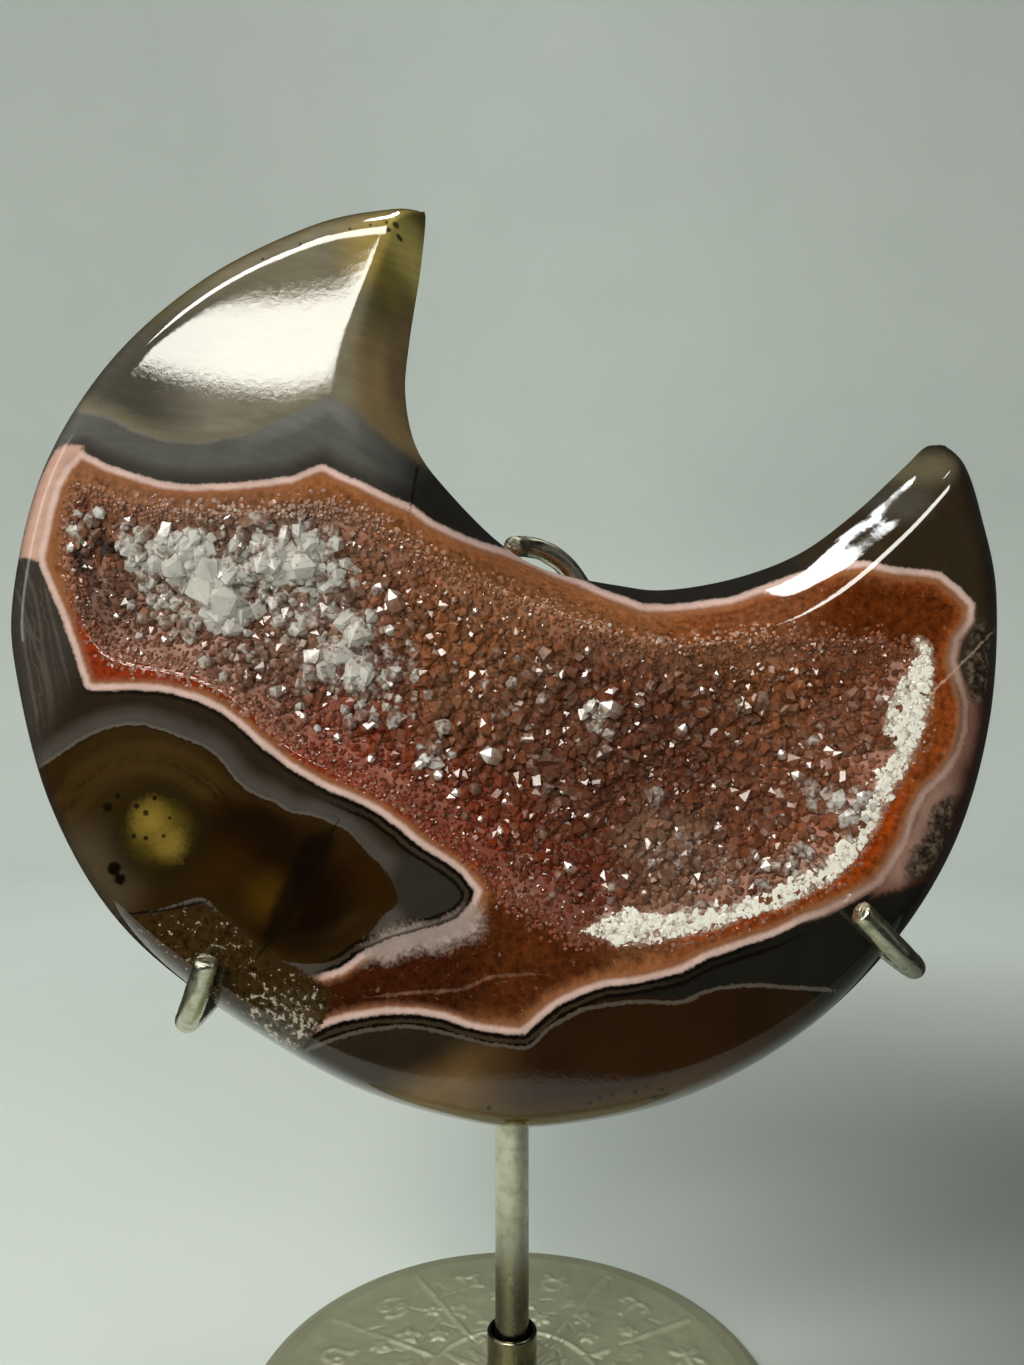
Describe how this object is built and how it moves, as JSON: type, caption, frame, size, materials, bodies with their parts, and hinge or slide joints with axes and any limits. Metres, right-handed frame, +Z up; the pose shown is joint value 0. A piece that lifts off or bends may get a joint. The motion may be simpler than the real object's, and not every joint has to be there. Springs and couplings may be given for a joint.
{
  "type": "druzy agate moon on a display stand",
  "caption": "Polished agate crescent with a crystal-lined hollow in its face, held upright by bent wires on a rod and round base.",
  "frame": {"origin": "centre of the base's underside, on the rod's axis", "axes": "+Z up along the rod, +X to the right and -Y towards the viewer of the crystal face"},
  "size_m": [0.1328, 0.08, 0.1731],
  "materials": {
    "polished_agate": "polished brown-grey agate with a pink lined band",
    "druzy_quartz": "small glassy quartz points over a rusty red-brown ground",
    "cast_pewter": "matte cast grey metal with low relief",
    "bright_nickel": "bright nickel plate",
    "nickel_wire": "satin nickel plated steel"
  },
  "bodies": {
    "root": {"moon_stone": "polished_agate", "druzy_crust": "druzy_quartz", "base": "cast_pewter", "collar": "bright_nickel", "rod": "nickel_wire", "ferrule": "nickel_wire", "arm_left": "nickel_wire", "arm_right": "nickel_wire", "arm_back": "nickel_wire"}
  },
  "joints": []
}
